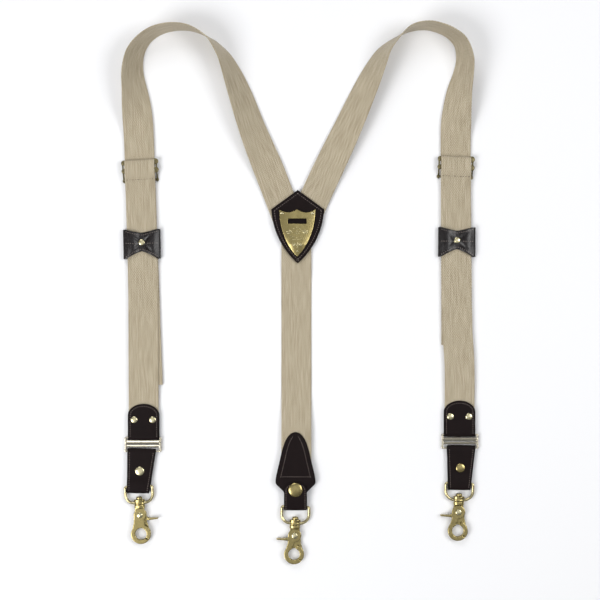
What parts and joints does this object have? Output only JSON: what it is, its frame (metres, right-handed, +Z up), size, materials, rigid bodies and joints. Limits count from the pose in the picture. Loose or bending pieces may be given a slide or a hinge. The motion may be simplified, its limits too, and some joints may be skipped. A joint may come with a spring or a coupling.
{
  "type": "suspenders",
  "caption": "Y-back suspenders of wide webbing with leather yoke, ends and keepers, slide adjusters and swivel trigger hooks, laid out flat.",
  "frame": {"origin": "middle of the footprint, on the surface that the suspenders lie on", "axes": "+Y from the hooks to the shoulder turns, +X to the right seen from above, +Z up from the surface"},
  "size_m": [0.4104, 0.6176, 0.0358],
  "materials": {
    "webbing": "woven cotton webbing, khaki",
    "leather": "dark brown, lightly waxed",
    "antique_brass": "antique brass plate, rubbed bright on the edges",
    "pale_brass": "polished pale brass",
    "nickel": "warm nickel plate",
    "spring_steel": "plain spring steel"
  },
  "bodies": {
    "straps": {"left_shoulder_strap": "webbing", "right_shoulder_strap": "webbing", "back_strap": "webbing", "yoke_front": "leather", "yoke_rear": "leather", "yoke_plate": "antique_brass", "plate_pin_left": "pale_brass", "plate_pin_right": "pale_brass", "plate_pin_bottom": "pale_brass", "back_facing_front": "leather", "back_facing_rear": "leather", "back_tab": "leather", "back_rivet": "antique_brass"},
    "left_adjuster": {"left_slide": "nickel", "left_front_strap": "webbing", "left_leather_end": "leather", "left_end_rivet_outer": "pale_brass", "left_end_rivet_inner": "pale_brass"},
    "left_keeper_ring": {"left_keeper": "leather", "left_keeper_stud": "pale_brass"},
    "left_link": {"left_connector": "nickel"},
    "left_tab": {"left_tab": "leather", "left_tab_snap": "pale_brass"},
    "right_adjuster": {"right_slide": "nickel", "right_front_strap": "webbing", "right_leather_end": "leather", "right_end_rivet_outer": "pale_brass", "right_end_rivet_inner": "pale_brass"},
    "right_keeper_ring": {"right_keeper": "leather", "right_keeper_stud": "pale_brass"},
    "right_link": {"right_connector": "nickel"},
    "right_tab": {"right_tab": "leather", "right_tab_snap": "pale_brass"},
    "left_loop": {"left_d_loop": "antique_brass"},
    "left_hook": {"left_hook_body": "antique_brass", "left_hook_rivet": "pale_brass", "left_hook_spring": "spring_steel"},
    "left_trigger": {"left_hook_trigger": "antique_brass"},
    "right_loop": {"right_d_loop": "antique_brass"},
    "right_hook": {"right_hook_body": "antique_brass", "right_hook_rivet": "pale_brass", "right_hook_spring": "spring_steel"},
    "right_trigger": {"right_hook_trigger": "antique_brass"},
    "back_loop": {"back_d_loop": "antique_brass"},
    "back_hook": {"back_hook_body": "antique_brass", "back_hook_rivet": "pale_brass", "back_hook_spring": "spring_steel"},
    "back_trigger": {"back_hook_trigger": "antique_brass"}
  },
  "joints": [
    {"name": "left_length_slide", "type": "slide", "parent": "straps", "child": "left_adjuster", "axis": [-0.0354, 0.9994, 0], "range_m": [-0.15, 0.004]},
    {"name": "left_keeper_slide", "type": "slide", "parent": "left_adjuster", "child": "left_keeper_ring", "axis": [-0.0209, 0.9998, 0], "range_m": [-0.05, 0.03]},
    {"name": "left_link_hinge", "type": "hinge", "parent": "left_adjuster", "child": "left_link", "pos_m": [-0.18037, -0.16387, 0.0029], "axis": [1, 0, 0], "range_deg": [-60, 60]},
    {"name": "left_tab_hinge", "type": "hinge", "parent": "left_link", "child": "left_tab", "pos_m": [-0.18197, -0.17947, 0.0029], "axis": [0.9998, -0.0209, 0], "range_deg": [-60, 60]},
    {"name": "right_length_slide", "type": "slide", "parent": "straps", "child": "right_adjuster", "axis": [-0.0033, 1, 0], "range_m": [-0.15, 0.004]},
    {"name": "right_keeper_slide", "type": "slide", "parent": "right_adjuster", "child": "right_keeper_ring", "axis": [0.0087, 1, 0], "range_m": [-0.05, 0.03]},
    {"name": "right_link_hinge", "type": "hinge", "parent": "right_adjuster", "child": "right_link", "pos_m": [0.18363, -0.16017, 0.0029], "axis": [1, 0, 0], "range_deg": [-60, 60]},
    {"name": "right_tab_hinge", "type": "hinge", "parent": "right_link", "child": "right_tab", "pos_m": [0.18483, -0.17577, 0.0029], "axis": [0.9999, -0.0113, 0], "range_deg": [-60, 60]},
    {"name": "left_loop_hinge", "type": "hinge", "parent": "left_tab", "child": "left_loop", "pos_m": [-0.18537, -0.22002, 0.0039], "axis": [0.9986, 0.0523, 0], "range_deg": [-90, 90]},
    {"name": "left_hook_swivel", "type": "hinge", "parent": "left_loop", "child": "left_hook", "pos_m": [-0.18367, -0.25258, 0.0039], "axis": [-0.0523, 0.9986, 0], "continuous": true},
    {"name": "left_trigger_pivot", "type": "hinge", "parent": "left_hook", "child": "left_trigger", "pos_m": [-0.18367, -0.25258, 0.0039], "axis": [0, 0, 1], "range_deg": [0, 35], "stiffness_Nm_per_rad": 0.03, "springref_deg": -17.19},
    {"name": "right_loop_hinge", "type": "hinge", "parent": "right_tab", "child": "right_loop", "pos_m": [0.18299, -0.21643, 0.0039], "axis": [0.9993, -0.0384, 0], "range_deg": [-90, 90]},
    {"name": "right_hook_swivel", "type": "hinge", "parent": "right_loop", "child": "right_hook", "pos_m": [0.18174, -0.249, 0.0039], "axis": [0.0384, 0.9993, 0], "continuous": true},
    {"name": "right_trigger_pivot", "type": "hinge", "parent": "right_hook", "child": "right_trigger", "pos_m": [0.18174, -0.249, 0.0039], "axis": [0, 0, -1], "range_deg": [0, 35], "stiffness_Nm_per_rad": 0.03, "springref_deg": -17.19},
    {"name": "back_loop_hinge", "type": "hinge", "parent": "straps", "child": "back_loop", "pos_m": [-0.00527, -0.24327, 0.0039], "axis": [0.9995, -0.0314, 0], "range_deg": [-90, 90]},
    {"name": "back_hook_swivel", "type": "hinge", "parent": "back_loop", "child": "back_hook", "pos_m": [-0.00629, -0.27585, 0.0039], "axis": [0.0314, 0.9995, 0], "continuous": true},
    {"name": "back_trigger_pivot", "type": "hinge", "parent": "back_hook", "child": "back_trigger", "pos_m": [-0.00629, -0.27585, 0.0039], "axis": [0, 0, -1], "range_deg": [0, 35], "stiffness_Nm_per_rad": 0.03, "springref_deg": -17.19}
  ]
}
